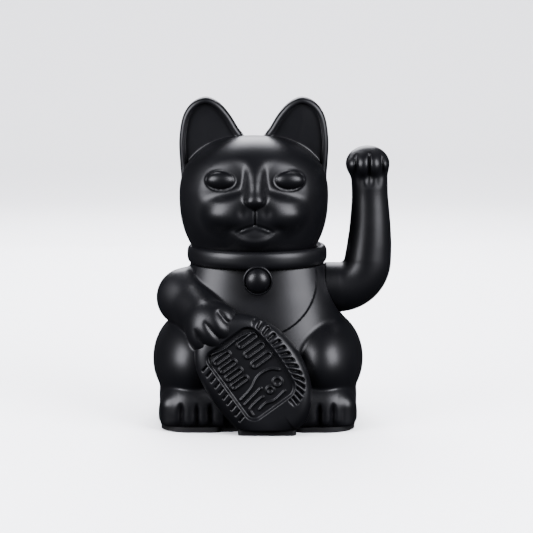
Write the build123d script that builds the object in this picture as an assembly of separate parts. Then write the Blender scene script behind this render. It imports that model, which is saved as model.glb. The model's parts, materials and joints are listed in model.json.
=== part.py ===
"""Beckoning cat figurine, 150 mm tall: a hollow plastic cat whose raised arm waves on a magnet pendulum.

Frame: +Z up, the cat faces -Y, its raised (left) arm is at +X. The origin is the middle of the base's
underside. Millimetres. One STEP per sub-part is written to parts/.
"""

import os
from math import asin, cos, pi, radians, sin

from build123d import *

# ---------------------------------------------------------------- driving dimensions
HEIGHT = 150.0  # floor to ear tips
WALL = 2.0  # body and head shells
ARM_WALL = 1.7
FIT = 0.2  # gap between mouldings that only locate each other
EPS = 0.01

# body
BODY_SEAM_Y = 0.0  # parting plane between the front and rear shells
SHELL_Z = 2.6  # bottom rim of the shells
NECK_Z = 73.3  # top of the torso, under the collar
TORSO_FLATTEN = 0.78  # depth over width
TORSO_PROFILE = [(40.0, SHELL_Z), (44.0, 9.0), (45.0, 20.0), (41.3, 40.0), (36.6, 56.0), (31.8, NECK_Z)]
SEAT_X, SEAT_Y = 89.0, 70.0  # the squat block that the cat sits on
SEAT_CORNER = 27.0
SEAT_TOP_Z = 17.0
SEAT_ROUND = 4.0
SEAT_BASE_ROUND = 1.0
HAUNCH_C = (29.3, -2.5, 29.0)
HAUNCH_R = (19.7, 34.0, 22.5)
FOOT_MIN = (15.0, -37.6, SHELL_Z)
FOOT_MAX = (45.6, -12.0, 20.0)
FOOT_ROUND = 6.0
FOOT_CORNER = 15.0  # outer front corner, from above
TAIL = [((-8.0, 32.5, 9.5), 6.0), ((12.0, 33.0, 15.0), 5.0)]

# the folded arm that holds the coin
SHOULDER = ((-24.0, 0.0, 62.3), 11.0)
ELBOW = ((-33.2, -8.0, 58.0), 12.8)
PAW = ((-18.8, -33.5, 47.8), 10.6)

# the waving arm and its axle
PIVOT_Z = 61.6
ARM_ROOT_X = 31.4  # flat inner end of the arm
ARM_CHAIN = [
    ((33.0, 0.0, PIVOT_Z), 11.0),
    ((49.4, 0.0, 63.3), 11.5),
    ((51.7, 0.0, 78.0), 10.6),
    ((51.3, 0.0, 105.0), 8.3),
    ((51.0, -0.5, 112.0), 8.2),
]
ARM_PAW_C = (50.1, -2.2, 118.6)
ARM_PAW_R = (10.1, 9.6, 8.4)
POCKET_R = 12.2  # round recess in the body's side that the arm turns in
POCKET_X = 30.4
AXLE_R = 1.5
BEARING_GAP = 0.05
AXLE_X0, AXLE_X1 = 2.2, 47.0
AXLE_HOLE_R = 3.0  # clearance hole in the body's side

# head
HEAD_X, HEAD_Y = -1.9, -1.0
HEAD_SEAM_Y = 1.0
HEAD_Z = 80.0  # bottom rim, on the collar's ledge
HEAD_FLATTEN = 0.9
HEAD_PROFILE = [
    (28.7, HEAD_Z), (31.6, 87.0), (33.8, 96.0), (34.5, 104.5), (33.3, 113.5), (28.4, 121.7), (20.0, 128.7),
    (11.5, 131.5), (4.0, 132.1),
]
FACE_X = -1.2
EAR_EDGE = [
    (-35.3, 112.0), (-36.5, 126.0), (-35.6, 138.5), (-31.6, 147.0), (-24.3, HEIGHT), (-17.0, 147.0),
    (-11.5, 139.7),
]
EAR_INNER = (-6.0, 129.5)
EAR_ROOT = (-14.0, 112.0)
EAR_DEPTH = 10.0
EAR_ROUND = 2.6

# collar and bell
COLLAR_C = (-0.4, -0.3)
COLLAR_R = (32.5, 30.7)
COLLAR_Z = (73.5, 81.8)
COLLAR_MOUTH = (29.8, 27.1)  # the head drops into this
COLLAR_BORE = (25.2, 23.2)
BELL_C = (0.0, -31.0, 69.2)
BELL_R = 5.6
BELL_FLANGE_R = 6.8

# coin
COIN_C = (-0.75, -44.2, 27.4)  # middle of the front face
COIN_R = (30.9, 21.8)
COIN_TURN = -54.0  # its long axis runs down to the right
COIN_LEAN = 5.0
COIN_DEPTH = 12.0
COIN_ROUND = 3.0

# base plate, battery and door
PLATE_T = 2.4
PLATE_INSET = 1.2
COIN_FOOT = (-9.0, 17.4, -42.6)  # left, right and front of the plate under the coin
CELL_R, CELL_LENGTH = 7.2, 49.2
CELL_NUB_R, CELL_NUB = 2.75, 1.1
CELL_Y = 16.5
CELL_Z = PLATE_T + 0.5 + CELL_R
BAY_X, BAY_Y = 56.6, 15.6  # inside the battery walls
BAY_WALL = 1.4
BAY_TOP_Z = 15.0
DOOR_X = 50.0
DOOR_Y0 = 7.0
DOOR_Z = (0.4, 1.9)
DOOR_TONGUE = 1.2
DOOR_TONGUE_Z = (0.9, 1.4)
DOOR_GAP = 0.25

# screws
BASE_SCREWS = [(-33.0, -18.0), (33.0, -18.0), (-35.0, 12.0), (35.0, 12.0)]
SCREW_R, SCREW_HEAD_R, SCREW_HEAD_H = 1.2, 2.5, 1.4
SMALL_SCREW_R, SMALL_HEAD = 1.0, (1.9, 1.2)  # for the circuit board
PILOT_GAP = 0.02  # between a screw's shank and the wall of its pilot hole
FRAME_POST_R, BOARD_POST_R = 2.6, 2.2
LEG_R = 0.25  # component legs
BOSS_R, BOSS_TOP_Z = 3.1, 14.0

# mechanism
POST_X = (4.0, 22.0)  # inner faces are between the posts, POST_T thick each
POST_T = 3.0
POST_TOP_Z = 66.0
SLAB_X, SLAB_Y, SLAB_Z = (1.0, 28.0), (-15.0, 6.4), (6.4, 8.6)
FRAME_SCREWS = [(10.2, -9.8), (18.8, -9.8)]
PENDULUM_X = 14.5
COIL_R, COIL_H = 6.0, 11.4
MAGNET_R, MAGNET_H = 4.5, 3.0
MAGNET_GAP = 2.0
WEIGHT = (9.0, 13.0, 11.0)
WEIGHT_Y = 0.33  # brings the waving arm's centre of mass under the axle
LEVER = (5.0, 5.0)  # width along X and Y
HUB_R, HUB_L = 4.0, 9.0

# circuit board
BOARD_MIN, BOARD_MAX = (-27.0, -24.0), (-5.0, -4.0)
BOARD_Z, BOARD_T = 7.0, 1.6
BOARD_SCREWS = [(-24.0, -21.0), (-8.0, -7.0)]
LEAD_R = 0.6


# ---------------------------------------------------------------- helpers
def box(low, high):
    """A box from its lowest to its highest corner."""
    size = [b - a for a, b in zip(low, high)]
    return Pos(*low) * Box(*size, align=Align.MIN)


def upright(r, z0, z1, x=0.0, y=0.0):
    """A cylinder along Z."""
    return Pos(x, y, z0) * Cylinder(r, z1 - z0, align=(Align.CENTER, Align.CENTER, Align.MIN))


def lying(r, x0, x1, y=0.0, z=0.0):
    """A cylinder along X."""
    return Pos(x0, y, z) * Rot(0, 90, 0) * Cylinder(r, x1 - x0, align=(Align.CENTER, Align.CENTER, Align.MIN))


def ellipsoid(centre, radii):
    return Pos(*centre) * scale(Sphere(1), by=tuple(radii))


def capsule(a, ra, b, rb):
    """Two balls joined by the cone that is tangent to both."""
    start, end = Vector(*a), Vector(*b)
    length = (end - start).length
    tilt = asin((ra - rb) / length)

    def on_ball(r, z, angle):
        return (r * cos(angle), z + r * sin(angle))

    profile = [
        ThreePointArc((0, -ra), on_ball(ra, 0, (tilt - pi / 2) / 2), on_ball(ra, 0, tilt)),
        Line(on_ball(ra, 0, tilt), on_ball(rb, length, tilt)),
        ThreePointArc(on_ball(rb, length, tilt), on_ball(rb, length, (tilt + pi / 2) / 2), (0, length + rb)),
        Line((0, length + rb), (0, -ra)),
    ]
    solid = revolve(Plane.XZ * make_face(profile), Axis.Z)
    return Plane(origin=start, z_dir=end - start) * solid


def chain(balls, inset=0.0):
    """Capsules from each ball to the next."""
    links = [capsule(a, ra - inset, b, rb - inset) for (a, ra), (b, rb) in zip(balls, balls[1:])]
    return fuse_all(links)


def fuse_all(solids):
    whole = solids[0]
    for solid in solids[1:]:
        whole = whole + solid
    return whole


def stacked(profile, flatten):
    """A smooth form through upright rings, each (half width, height) and flattened in Y."""
    return loft([Pos(0, 0, z) * Ellipse(r, r * flatten) for r, z in profile])


def elliptic(rx, ry, z0, z1, centre=(0.0, 0.0)):
    return Pos(centre[0], centre[1], z0) * extrude(Ellipse(rx, ry), z1 - z0)


def side_of(shape, seam_y, front):
    """The half of shape in front of or behind the plane y = seam_y."""
    far = 200.0
    half = box((-far, -far, -far), (far, seam_y, far)) if front else box((-far, seam_y, -far), (far, far, far))
    return shape & half


def wire_along(points, r):
    """A round wire on straight runs joined by arcs as large as the runs allow."""
    radii = []
    for before, corner, after in zip(points, points[1:], points[2:]):
        u, v = Vector(*corner) - Vector(*before), Vector(*after) - Vector(*corner)
        half_turn = radians(u.get_angle(v)) / 2
        radii.append(0.45 * min(u.length, v.length) / (sin(half_turn) / cos(half_turn)))
    path = FilletPolyline(*points, radius=radii)
    return sweep(Plane(origin=path @ 0, z_dir=path % 0) * Circle(r), path)


# ---------------------------------------------------------------- body
def seat(inset):
    """The squat block under the torso; with an inset it is open downwards."""
    size = (SEAT_X - 2 * inset, SEAT_Y - 2 * inset)
    low = SHELL_Z if inset == 0 else SHELL_Z - 1
    block = extrude(RectangleRounded(*size, SEAT_CORNER - inset), SEAT_TOP_Z - inset - low)
    block = Pos(0, 0, low) * block
    if inset == 0:
        block = fillet(block.faces().sort_by(Axis.Z)[0].edges(), SEAT_BASE_ROUND)
    return fillet(block.faces().sort_by(Axis.Z)[-1].edges(), SEAT_ROUND)


def torso(inset):
    rings = [(r - inset, z) for r, z in TORSO_PROFILE]
    if inset:
        rings[0] = (rings[0][0], SHELL_Z - 1)
        rings[-1] = (rings[-1][0], NECK_Z - inset)
    return stacked(rings, TORSO_FLATTEN)


def foot_outline(inset):
    """The foot at +X from above: a wide round at its outer front corner and a small one at its inner one."""
    size = (FOOT_MAX[0] - FOOT_MIN[0] - 2 * inset, FOOT_MAX[1] - FOOT_MIN[1] - inset)
    middle = ((FOOT_MIN[0] + FOOT_MAX[0]) / 2, (FOOT_MIN[1] + inset + FOOT_MAX[1]) / 2)
    outline = Pos(*middle) * Rectangle(*size)
    outline = fillet(outline.vertices().group_by(Axis.Y)[0].sort_by(Axis.X)[-1], FOOT_CORNER - inset)
    return fillet(outline.vertices().group_by(Axis.Y)[0].sort_by(Axis.X)[0], FOOT_ROUND - inset)


def foot(side, inset):
    bottom = FOOT_MIN[2] - (1 if inset else 0)
    block = Pos(0, 0, bottom) * extrude(foot_outline(inset), FOOT_MAX[2] - inset - bottom)
    block = fillet(block.faces().sort_by(Axis.Z)[-1].edges(), FOOT_ROUND - inset)
    return block if side > 0 else mirror(block, Plane.YZ)


def body_form(inset):
    """The body's outer form, or with an inset the space inside it."""
    parts = [torso(inset), seat(inset)]
    for side in (-1, 1):
        x, y, z = HAUNCH_C
        parts.append(ellipsoid((side * x, y, z), [r - inset for r in HAUNCH_R]))
        parts.append(foot(side, inset))
    parts.append(chain([SHOULDER, ELBOW, PAW], inset))
    if inset == 0:
        parts.append(chain(TAIL))
    form = fuse_all(parts)
    pocket = lying(POCKET_R + inset, POCKET_X - inset, 70.0, 0.0, PIVOT_Z)
    form = form - pocket
    if inset == 0:
        form = form & box((-100, -100, SHELL_Z), (100, 100, NECK_Z))
    else:
        form = form & box((-100, -100, 0), (100, 100, NECK_Z - inset))
    return form


def neck(inset):
    """The upright ring on the torso that carries the collar."""
    rx, ry = COLLAR_BORE[0] - FIT - inset, COLLAR_BORE[1] - FIT - inset
    low = NECK_Z - WALL - 1 if inset else NECK_Z - EPS
    return elliptic(rx, ry, low, HEAD_Z - 0.5, COLLAR_C)


def screw_boss(x, y, form):
    """A post for a base screw, ribbed to the shell's side wall."""
    out = 50.0 if x > 0 else -50.0
    rib = box((min(x, out), y - 0.8, PLATE_T + 2.6), (max(x, out), y + 0.8, BOSS_TOP_Z - 2))
    post = upright(BOSS_R, PLATE_T + 0.6, BOSS_TOP_Z, x, y) + (rib & form)
    return post - upright(SCREW_R + PILOT_GAP, 0, BOSS_TOP_Z - 2, x, y)


def body_shells():
    form = body_form(0)
    shell = (form + neck(0)) - body_form(WALL) - neck(WALL)
    shell = shell - lying(AXLE_HOLE_R, POCKET_X - 2 * WALL, 60.0, 0.0, PIVOT_Z)
    for x, y in BASE_SCREWS:
        shell = shell + screw_boss(x, y, form)
    return form, side_of(shell, BODY_SEAM_Y, True), side_of(shell, BODY_SEAM_Y, False)


# ---------------------------------------------------------------- head
def skull(inset):
    rings = [(r - inset, z) for r, z in HEAD_PROFILE]
    if inset:
        rings[0] = (rings[0][0], HEAD_Z - 1)
        rings[-2:] = [(r, z - inset) for r, z in rings[-2:]]
    return Pos(HEAD_X, HEAD_Y, 0) * stacked(rings, HEAD_FLATTEN)


def face():
    """Muzzle, nose, chin and eyes as simple swellings."""
    x = FACE_X
    parts = [
        ellipsoid((x - 6.0, -25.0, 97.0), (10.5, 11.0, 8.6)),
        ellipsoid((x + 6.0, -25.0, 97.0), (10.5, 11.0, 8.6)),
        ellipsoid((x, -25.5, 90.0), (8.5, 9.0, 6.4)),
        ellipsoid((x, -32.5, 105.0), (6.2, 7.0, 3.6)),
        capsule((x, -25.0, 121.0), 4.8, (x, -31.5, 107.0), 4.8),
    ]
    for dx in (-15.1, 15.1):
        parts.append(ellipsoid((x + dx, -26.0, 113.6), (6.6, 4.6, 4.0)))
    return fuse_all(parts)


def ear(side):
    """A pointed slab with a rounded tip, for the left (-1) or right (1) of the head."""
    outline = [
        Spline(*EAR_EDGE),
        Line(EAR_EDGE[-1], EAR_INNER),
        Line(EAR_INNER, EAR_ROOT),
        Line(EAR_ROOT, EAR_EDGE[0]),
    ]
    slab = Pos(0, HEAD_SEAM_Y + EAR_DEPTH, 0) * extrude(Plane.XZ * make_face(outline), EAR_DEPTH)
    back = slab.faces().sort_by(Axis.Y)[-1]
    slab = fillet(back.edges().filter_by(lambda e: e.center().Z > EAR_EDGE[1][1]), EAR_ROUND)
    return slab if side < 0 else mirror(slab, Plane(origin=(HEAD_X, 0, 0), z_dir=(1, 0, 0)))


def head_shells():
    hollow = skull(WALL)
    front = side_of((skull(0) + face()) - hollow, HEAD_SEAM_Y, True)
    rear = side_of((skull(0) + ear(-1) + ear(1)) - hollow, HEAD_SEAM_Y, False)
    keep = box((-100, -100, HEAD_Z), (100, 100, 200))
    return front & keep, rear & keep


# ---------------------------------------------------------------- collar, bell and coin
def collar():
    z0, z1 = COLLAR_Z
    ring = elliptic(*COLLAR_R, z0, z1, COLLAR_C)
    ring = fillet(ring.edges().filter_by(GeomType.ELLIPSE), 3.0)
    ring = ring - elliptic(*COLLAR_BORE, z0 - 1, z1 + 1, COLLAR_C)
    return ring - elliptic(*COLLAR_MOUTH, HEAD_Z - FIT, z1 + 1, (HEAD_X, HEAD_Y))


def bell(body, ring):
    x, y, z = BELL_C
    flange = Pos(x, y, z) * Rot(90, 0, 0) * Cylinder(BELL_FLANGE_R, 4.0)
    return biggest((flange + Pos(x, y, z) * Sphere(BELL_R)) - body - ring)


def biggest(shape):
    return max(shape.solids(), key=lambda solid: solid.volume)


def coin(body):
    slab = extrude(Ellipse(*COIN_R), COIN_DEPTH)
    slab = fillet(slab.faces().sort_by(Axis.Z)[-1].edges(), COIN_ROUND)
    slab = Pos(0, 0, -COIN_DEPTH) * slab
    # local z becomes the face's outward normal, -Y leaned back
    slab = Pos(*COIN_C) * Rot(90 - COIN_LEAN, 0, 0) * Rot(0, 0, COIN_TURN) * slab
    slab = slab & box((-100, -100, SHELL_Z), (100, 100, 100))
    return biggest(slab - body)


# ---------------------------------------------------------------- base
def plate_outline():
    d = PLATE_INSET
    outline = RectangleRounded(SEAT_X - 2 * d, SEAT_Y - 2 * d, SEAT_CORNER - d)
    outline = outline + foot_outline(d) + mirror(foot_outline(d), Plane.YZ)
    left, right, front = COIN_FOOT
    return outline + Pos((left + right) / 2, front / 2) * RectangleRounded(right - left, -front, 2.0)


def door_blank(gap, length):
    """The door's panel and its two side tongues; with a gap it is the space cut for them."""
    half, y1 = DOOR_X / 2 + gap, DOOR_Y0 + length
    panel = box((-half, DOOR_Y0 - gap, DOOR_Z[0] - gap), (half, y1, DOOR_Z[1] + gap))
    tongue = (half + DOOR_TONGUE, DOOR_TONGUE_Z[0] - gap, DOOR_TONGUE_Z[1] + gap)
    return panel + box((-tongue[0], DOOR_Y0 - gap, tongue[1]), (tongue[0], y1, tongue[2]))


def base_plate():
    outline = plate_outline()
    plate = extrude(outline, PLATE_T)
    in_shell = WALL + 0.3
    lip = RectangleRounded(SEAT_X - 2 * in_shell, SEAT_Y - 2 * in_shell, SEAT_CORNER - in_shell)
    plate = plate + Pos(0, 0, PLATE_T) * extrude(lip - offset(lip, -1.4), 2.2)
    # battery bay
    outer = (BAY_X / 2 + BAY_WALL, BAY_Y / 2 + BAY_WALL)
    plate = plate + box((-outer[0], CELL_Y - outer[1], 0.5), (outer[0], CELL_Y + outer[1], BAY_TOP_Z))
    plate = plate - box((-BAY_X / 2, CELL_Y - BAY_Y / 2, PLATE_T), (BAY_X / 2, CELL_Y + BAY_Y / 2, 30))
    hatch = DOOR_X / 2 - 0.8
    plate = plate - box((-hatch, CELL_Y - BAY_Y / 2, -1), (hatch, CELL_Y + BAY_Y / 2, PLATE_T + 1))
    plate = plate - door_blank(DOOR_GAP, 40.0)
    below_door = box((-DOOR_X / 2 - DOOR_GAP, DOOR_Y0 - DOOR_GAP, -1), (DOOR_X / 2 + DOOR_GAP, 60, DOOR_Z[1]))
    plate = plate - below_door
    # posts for the mechanism frame and the circuit board, on the plate
    for x, y in FRAME_SCREWS:
        plate = plate + upright(FRAME_POST_R, PLATE_T - EPS, SLAB_Z[0], x, y)
        plate = plate - upright(SCREW_R + PILOT_GAP, 1.0, 9, x, y)
    for x, y in BOARD_SCREWS:
        plate = plate + upright(BOARD_POST_R, PLATE_T - EPS, BOARD_Z, x, y)
        plate = plate - upright(SMALL_SCREW_R + PILOT_GAP, 1.0, 9, x, y)
    plate = plate + upright(FRAME_POST_R, PLATE_T - EPS, SLAB_Z[0], PENDULUM_X, 2.0)
    for x, y in BASE_SCREWS:
        plate = plate - upright(SCREW_R + 0.25, -1, 9, x, y)
        plate = plate - upright(SCREW_HEAD_R + 0.3, -1, SCREW_HEAD_H, x, y)
        plate = plate - upright(BOSS_R + 0.4, PLATE_T, 9, x, y)
    return plate


def battery_door():
    reach = SEAT_Y / 2 - PLATE_INSET - DOOR_Y0
    door = door_blank(0.0, reach + 5) & Pos(0, 0, -1) * extrude(plate_outline(), 5)
    for i in range(4):
        y = DOOR_Y0 + 10.0 + 3.0 * i
        door = door - box((-8, y, 0), (8, y + 1.2, DOOR_Z[0] + 0.5))
    return door


def battery():
    x0 = -CELL_LENGTH / 2
    case = lying(CELL_R, x0, -x0, CELL_Y, CELL_Z)
    case = fillet(case.edges().filter_by(GeomType.CIRCLE), 0.8)
    return case + lying(CELL_NUB_R, -x0 - EPS, -x0 + CELL_NUB, CELL_Y, CELL_Z)


def battery_spring():
    """Tapered contact spring at the cell's flat end, on its own plate."""
    wire, x0 = 0.4, -BAY_X / 2
    gap = BAY_X / 2 - CELL_LENGTH / 2 - 0.5
    helix = Helix(pitch=(gap - 1.4) / 3, height=gap - 1.4, radius=4.6, cone_angle=-20)
    section = Plane(origin=helix @ 0, z_dir=helix % 0) * Circle(wire)
    coil = sweep(section, helix, is_frenet=True)
    plate = box((x0, CELL_Y - 5.5, PLATE_T + 0.6), (x0 + 0.5, CELL_Y + 5.5, BAY_TOP_Z - 0.5))
    return plate, Pos(x0 + 0.5 + wire, CELL_Y, CELL_Z) * Rot(0, 90, 0) * coil


def battery_contact():
    x1 = BAY_X / 2
    plate = box((x1 - 0.5, CELL_Y - 5.5, PLATE_T + 0.6), (x1, CELL_Y + 5.5, BAY_TOP_Z - 0.5))
    reach = CELL_LENGTH / 2 + CELL_NUB
    return plate + lying(2.2, reach + 0.02, x1 - 0.4, CELL_Y, CELL_Z)


def screw(x, y, head_z, length, r=SCREW_R, head=(SCREW_HEAD_R, SCREW_HEAD_H), up=True):
    """A cross-head screw; its shank runs up from the head, or down."""
    sign = 1 if up else -1
    body = upright(head[0], min(head_z, head_z + sign * head[1]), max(head_z, head_z + sign * head[1]), x, y)
    tip = head_z + sign * (head[1] + length)
    body = body + upright(r, min(head_z + sign * head[1], tip), max(head_z + sign * head[1], tip), x, y)
    arm = head[0] * 0.6
    low, high = min(head_z, head_z + sign * 0.7), max(head_z, head_z + sign * 0.7)
    body = body - box((x - arm, y - 0.3, low - EPS), (x + arm, y + 0.3, high))
    return body - box((x - 0.3, y - arm, low - EPS), (x + 0.3, y + arm, high + EPS))


# ---------------------------------------------------------------- mechanism
def post(x):
    """One upright of the frame: wide at its foot, narrow at the bearing."""
    foot_z = SLAB_Z[1] - 1
    outline = Polyline(
        (-13.0, foot_z), (-4.2, 30.0), (-4.2, POST_TOP_Z), (4.2, POST_TOP_Z), (5.4, foot_z), close=True
    )
    return Pos(x, 0, 0) * extrude(Plane.YZ * make_face(outline), POST_T)


def mechanism_frame():
    frame = box((SLAB_X[0], SLAB_Y[0], SLAB_Z[0]), (SLAB_X[1], SLAB_Y[1], SLAB_Z[1]))
    for x in POST_X:
        frame = frame + post(x)
    # a tie across the front keeps the posts parallel
    frame = frame + box((POST_X[0], -14.9, SLAB_Z[1] - EPS), (POST_X[1] + POST_T, -13.2, 17.0))
    frame = frame - lying(AXLE_R + BEARING_GAP, 0, 30, 0, PIVOT_Z)
    frame = frame - box((POST_X[0] - 1, -8.0, SLAB_Z[1] + 0.6), (POST_X[0] + POST_T + 1, -2.0, SLAB_Z[1] + 4.6))
    for x, y in FRAME_SCREWS:
        frame = frame - upright(SCREW_R + 0.2, 0, 30, x, y)
    return frame


def coil_bobbin():
    z0, z1 = SLAB_Z[1], SLAB_Z[1] + COIL_H
    spool = upright(2.6, z0, z1, PENDULUM_X)
    spool = spool + upright(COIL_R, z0, z0 + 1, PENDULUM_X) + upright(COIL_R, z1 - 1, z1, PENDULUM_X)
    return spool - upright(1.4, z0 - 1, z1 + 1, PENDULUM_X)


def drive_coil():
    z0, z1 = SLAB_Z[1] + 1, SLAB_Z[1] + COIL_H - 1
    return upright(COIL_R - 0.5, z0, z1, PENDULUM_X) - upright(2.6, z0 - 1, z1 + 1, PENDULUM_X)


MAGNET_Z = SLAB_Z[1] + COIL_H + MAGNET_GAP
WEIGHT_Z = MAGNET_Z + MAGNET_H + 0.8


def pendulum_lever():
    """Hub on the axle, a flat arm, and a cradle that holds the weight and the magnet."""
    x = PENDULUM_X
    hub = lying(HUB_R, x - HUB_L / 2, x + HUB_L / 2, 0, PIVOT_Z)
    w, d, h = WEIGHT
    top = WEIGHT_Z + h
    arm = box((x - LEVER[0] / 2, -LEVER[1] / 2, top), (x + LEVER[0] / 2, LEVER[1] / 2, PIVOT_Z))
    cradle = box((x - w / 2 - 1, -d / 2 - 1.2, MAGNET_Z + 1.0), (x + w / 2 + 1, d / 2 + 1.2, top + 1.2))
    lever = hub + arm + cradle
    lever = lever - box((x - w, WEIGHT_Y - d / 2, WEIGHT_Z), (x + w, WEIGHT_Y + d / 2, top))
    lever = lever - upright(MAGNET_R, 0, MAGNET_Z + MAGNET_H, x)
    return lever - lying(AXLE_R, 0, 40, 0, PIVOT_Z)


def pendulum_weight():
    w, d, h = WEIGHT
    x = PENDULUM_X
    block = box((x - w / 2, WEIGHT_Y - d / 2, WEIGHT_Z), (x + w / 2, WEIGHT_Y + d / 2, WEIGHT_Z + h))
    return chamfer(block.edges().filter_by(Axis.Y), 0.6)


def pendulum_magnet():
    return upright(MAGNET_R, MAGNET_Z, MAGNET_Z + MAGNET_H, PENDULUM_X)


def arm_axle():
    rod = lying(AXLE_R, AXLE_X0, AXLE_X1, 0, PIVOT_Z)
    return chamfer(rod.edges().filter_by(GeomType.CIRCLE), 0.3)


def retaining_ring():
    """Push-on washer outside the inner post."""
    x1 = POST_X[0] - 0.3
    return lying(3.0, x1 - 0.8, x1, 0, PIVOT_Z) - lying(AXLE_R, 0, 10, 0, PIVOT_Z)


# ---------------------------------------------------------------- waving arm
def arm_form(inset):
    form = chain(ARM_CHAIN, inset) + ellipsoid(ARM_PAW_C, [r - inset for r in ARM_PAW_R])
    if inset == 0:
        form = form & box((ARM_ROOT_X, -50, 0), (100, 50, 200))
    return form


def arm_shells():
    shell = arm_form(0) - arm_form(ARM_WALL) - lying(ARM_CHAIN[0][1] - ARM_WALL, 20, 38, 0, PIVOT_Z)
    return side_of(shell, 0, True), side_of(shell, 0, False)


def arm_root_cap():
    """Closes the arm's root and grips the axle."""
    r = ARM_CHAIN[0][1] - ARM_WALL - 0.05
    inner = ARM_ROOT_X + 0.4
    cap = lying(r, inner, ARM_ROOT_X + 2.2, 0, PIVOT_Z) + lying(3.6, inner, 45, 0, PIVOT_Z)
    for turn in (0, 90):
        fin = Pos(ARM_ROOT_X + 5, 0, PIVOT_Z) * Rot(turn, 0, 0) * Box(7, 14, 1.4)
        cap = cap + fin
    return cap - lying(AXLE_R, 0, 60, 0, PIVOT_Z)


# ---------------------------------------------------------------- electronics
def circuit_board():
    board = box((*BOARD_MIN, BOARD_Z), (*BOARD_MAX, BOARD_Z + BOARD_T))
    for x, y in BOARD_SCREWS:
        board = board - upright(1.2, 0, 20, x, y)
    return board


BOARD_TOP = BOARD_Z + BOARD_T


def transistor():
    """A TO-92 case on three legs."""
    x, y = -18.0, -8.0
    case = upright(2.4, BOARD_TOP + 2.0, BOARD_TOP + 6.6, x, y) & box((x - 3, y - 1.4, 0), (x + 3, y + 3, 40))
    legs = [upright(LEG_R, BOARD_TOP, BOARD_TOP + 2.0, x + dx, y) for dx in (-1.27, 0, 1.27)]
    return fuse_all([case, *legs])


def capacitor():
    x, y = -9.5, -17.0
    can = upright(2.5, BOARD_TOP + 0.3, BOARD_TOP + 8.5, x, y)
    can = fillet(can.edges().filter_by(GeomType.CIRCLE), 0.5)
    legs = [upright(LEG_R, BOARD_TOP, BOARD_TOP + 0.4, x + dx, y) for dx in (-1, 1)]
    return fuse_all([can, *legs])


def resistors():
    """Two resistors lying on the board."""
    found = []
    for y in (-19.5, -15.5):
        z = BOARD_TOP + 1.3
        tube = lying(1.1, -20.2, -14.2, y, z)
        legs = [upright(LEG_R, BOARD_TOP, z, x, y) for x in (-22.0, -12.9)]
        wires = [lying(LEG_R, -22.0, -20.0, y, z), lying(LEG_R, -14.4, -12.9, y, z)]
        found.append(fuse_all([tube, *legs, *wires]))
    return Compound(found)


def leads():
    """The battery leads, from the top of each contact plate over the bay's wall to the board."""
    z, y = BAY_TOP_Z - 0.5, CELL_Y - 3.0
    x_minus, x_plus = -BAY_X / 2 + 0.7, BAY_X / 2 - 0.7
    black = wire_along(
        [
            (x_minus, y, z), (x_minus, y, z + 3.5), (-27.0, 4.0, z + 3.5), (-25.0, -2.0, 14.5),
            (-24.0, -11.0, 13.0), (-24.0, -11.0, BOARD_TOP),
        ],
        LEAD_R,
    )
    red = wire_along(
        [
            (x_plus, y, z), (x_plus, y, z + 3.5), (24.0, 8.6, z + 4), (6.0, 8.6, z + 4), (-6.0, 4.0, z + 2),
            (-12.0, -6.0, 14.0), (-12.5, -12.0, 12.5), (-12.5, -12.0, BOARD_TOP),
        ],
        LEAD_R,
    )
    return black, red


def coil_leads():
    """Two enamelled wires from the winding to the board."""
    found = []
    for dy in (-1.2, 1.2):
        y = -5.0 + dy
        points = [
            (10.4, y, 11.0), (2.0, y, 11.0), (-6.0, y - 6, 12.0), (-7.5, y - 6.5, 11.0),
            (-7.5, y - 6.5, BOARD_TOP),
        ]
        found.append(wire_along(points, 0.3))
    return Compound(found)


# ---------------------------------------------------------------- build
def build():
    body, body_front, body_rear = body_shells()
    head_front, head_rear = head_shells()
    ring = collar()
    arm_front, arm_rear = arm_shells()
    spring_plate, spring = battery_spring()
    lead_black, lead_red = leads()
    return {
        "body_front_shell": body_front,
        "body_rear_shell": body_rear,
        "head_front_shell": head_front,
        "head_rear_shell": head_rear,
        "collar": ring,
        "bell": bell(body, ring),
        "coin": coin(body),
        "base_plate": base_plate(),
        "base_screws": Compound([screw(x, y, 0.0, 8.0) for x, y in BASE_SCREWS]),
        "battery_door": battery_door(),
        "battery_cell": battery(),
        "battery_spring": spring,
        "spring_plate": spring_plate,
        "battery_contact": battery_contact(),
        "mechanism_frame": mechanism_frame(),
        "frame_screws": Compound(
            [screw(x, y, SLAB_Z[1] + 1.4, 7.0, up=False) for x, y in FRAME_SCREWS]
        ),
        "coil_bobbin": coil_bobbin(),
        "drive_coil": drive_coil(),
        "circuit_board": circuit_board(),
        "board_screws": Compound(
            [screw(x, y, BOARD_TOP + 1.2, 5.0, SMALL_SCREW_R, SMALL_HEAD, up=False) for x, y in BOARD_SCREWS]
        ),
        "transistor": transistor(),
        "capacitor": capacitor(),
        "resistors": resistors(),
        "lead_black": lead_black,
        "lead_red": lead_red,
        "coil_leads": coil_leads(),
        "arm_front_shell": arm_front,
        "arm_rear_shell": arm_rear,
        "arm_root_cap": arm_root_cap(),
        "arm_axle": arm_axle(),
        "pendulum_lever": pendulum_lever(),
        "pendulum_weight": pendulum_weight(),
        "pendulum_magnet": pendulum_magnet(),
        "retaining_ring": retaining_ring(),
    }


os.makedirs("parts", exist_ok=True)
for name, shape in build().items():
    export_step(shape, f"parts/{name}.step")
    print(name, len(shape.solids()), round(shape.volume, 1))
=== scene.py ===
"""The looks of the beckoning cat figurine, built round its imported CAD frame.

The moulded shells are sculpted as distance fields in millimetres, in the frame's own axes: +Z up, the cat
faces -Y, its raised arm is at +X. Each field is meshed on a fine grid and becomes one piece in metres.
"""

import json
import math

import bpy
import numpy as np
from mathutils import Matrix, Vector


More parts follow.
